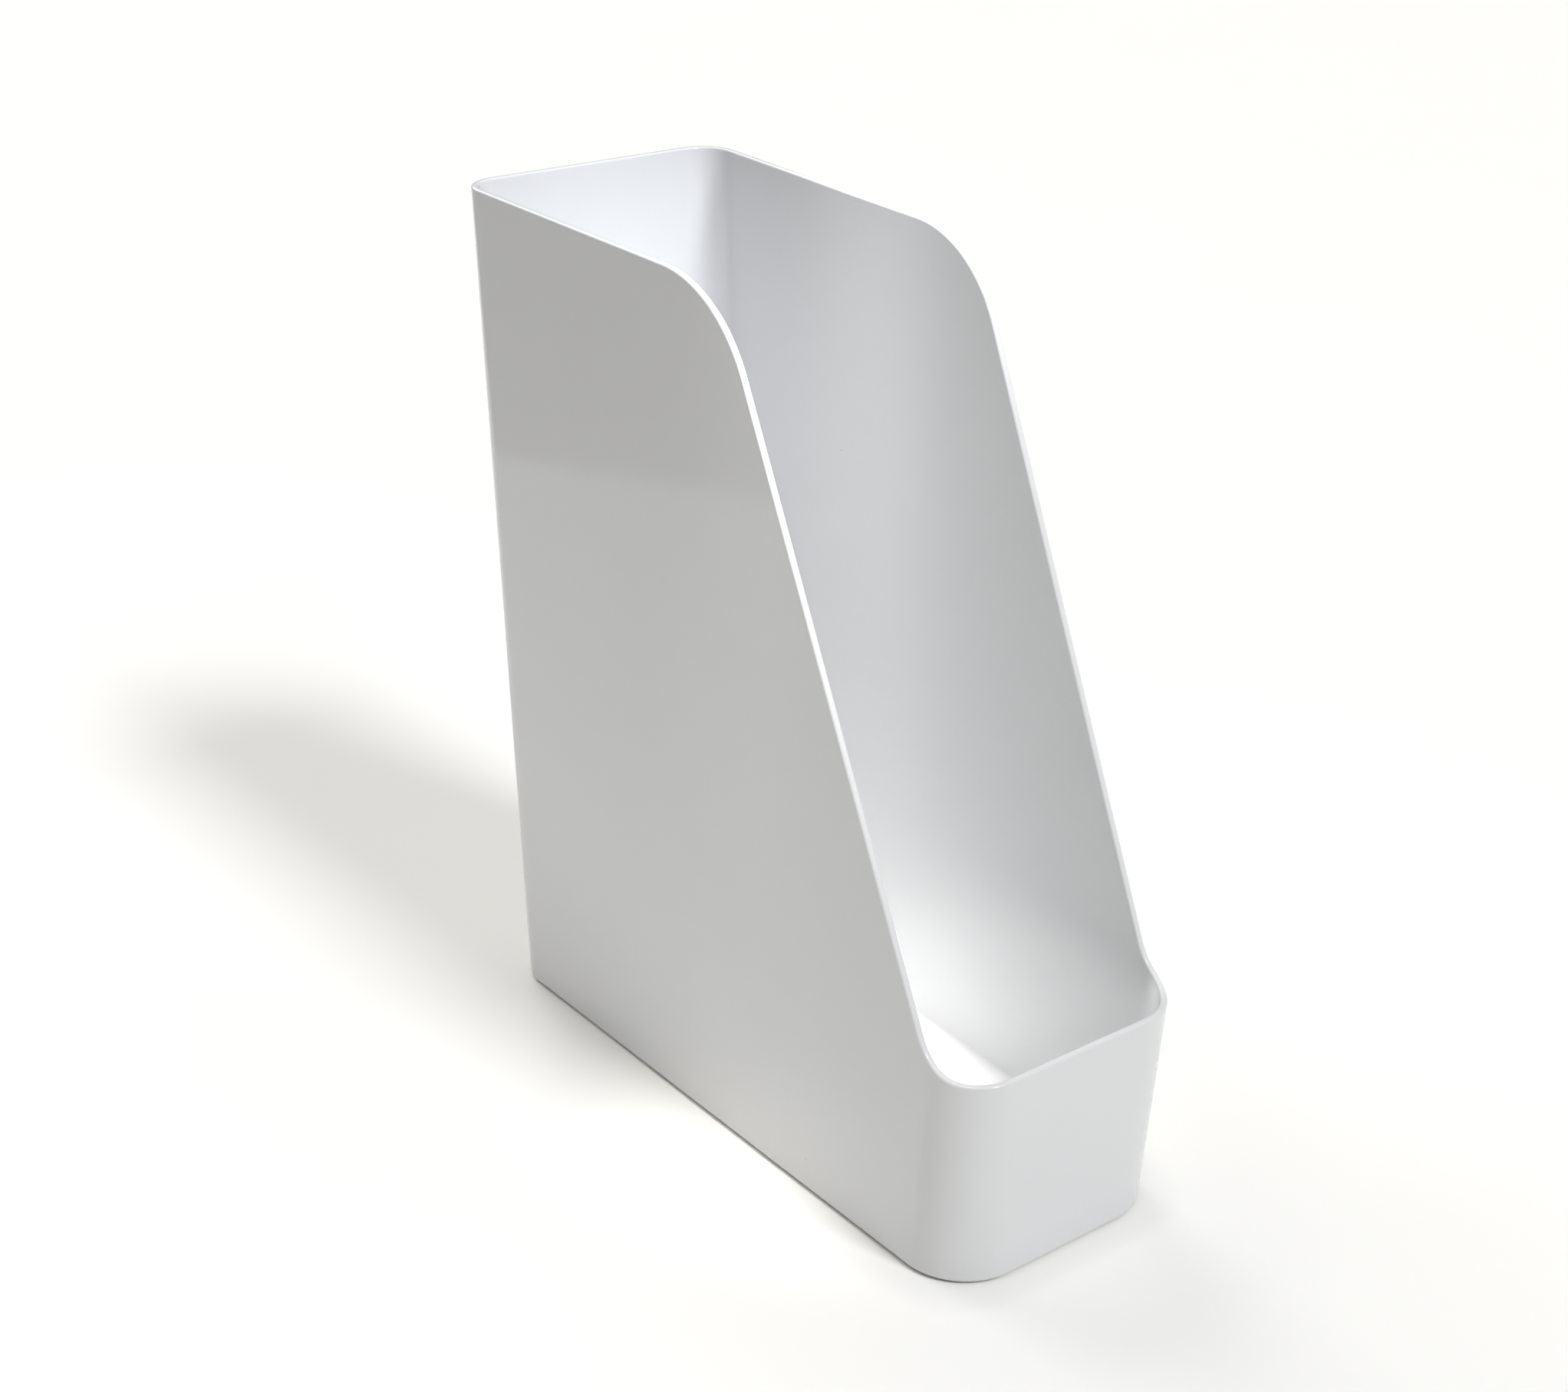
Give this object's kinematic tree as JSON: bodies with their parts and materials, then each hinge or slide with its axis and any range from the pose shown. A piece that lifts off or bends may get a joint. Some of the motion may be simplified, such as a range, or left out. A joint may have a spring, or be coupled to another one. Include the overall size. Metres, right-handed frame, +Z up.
{
  "type": "magazine file holder",
  "caption": "Open-topped magazine file: a tall narrow desk bin with a low front wall, sloping side rims and non-slip pads.",
  "frame": {"origin": "on the table, under the middle of the outer box, level with the undersides of the pads", "axes": "+Z up, the low front wall faces -Y, the high back wall faces +Y, +X to the right seen from the front"},
  "size_m": [0.1062, 0.269, 0.305],
  "materials": {
    "shell_plastic": "polished white injection-moulded plastic, glossy inside and out",
    "pad_rubber": "matt grey soft rubber"
  },
  "bodies": {
    "root": {"bin": "shell_plastic", "pad_front_left": "pad_rubber", "pad_front_right": "pad_rubber", "pad_back_left": "pad_rubber", "pad_back_right": "pad_rubber"}
  },
  "joints": []
}
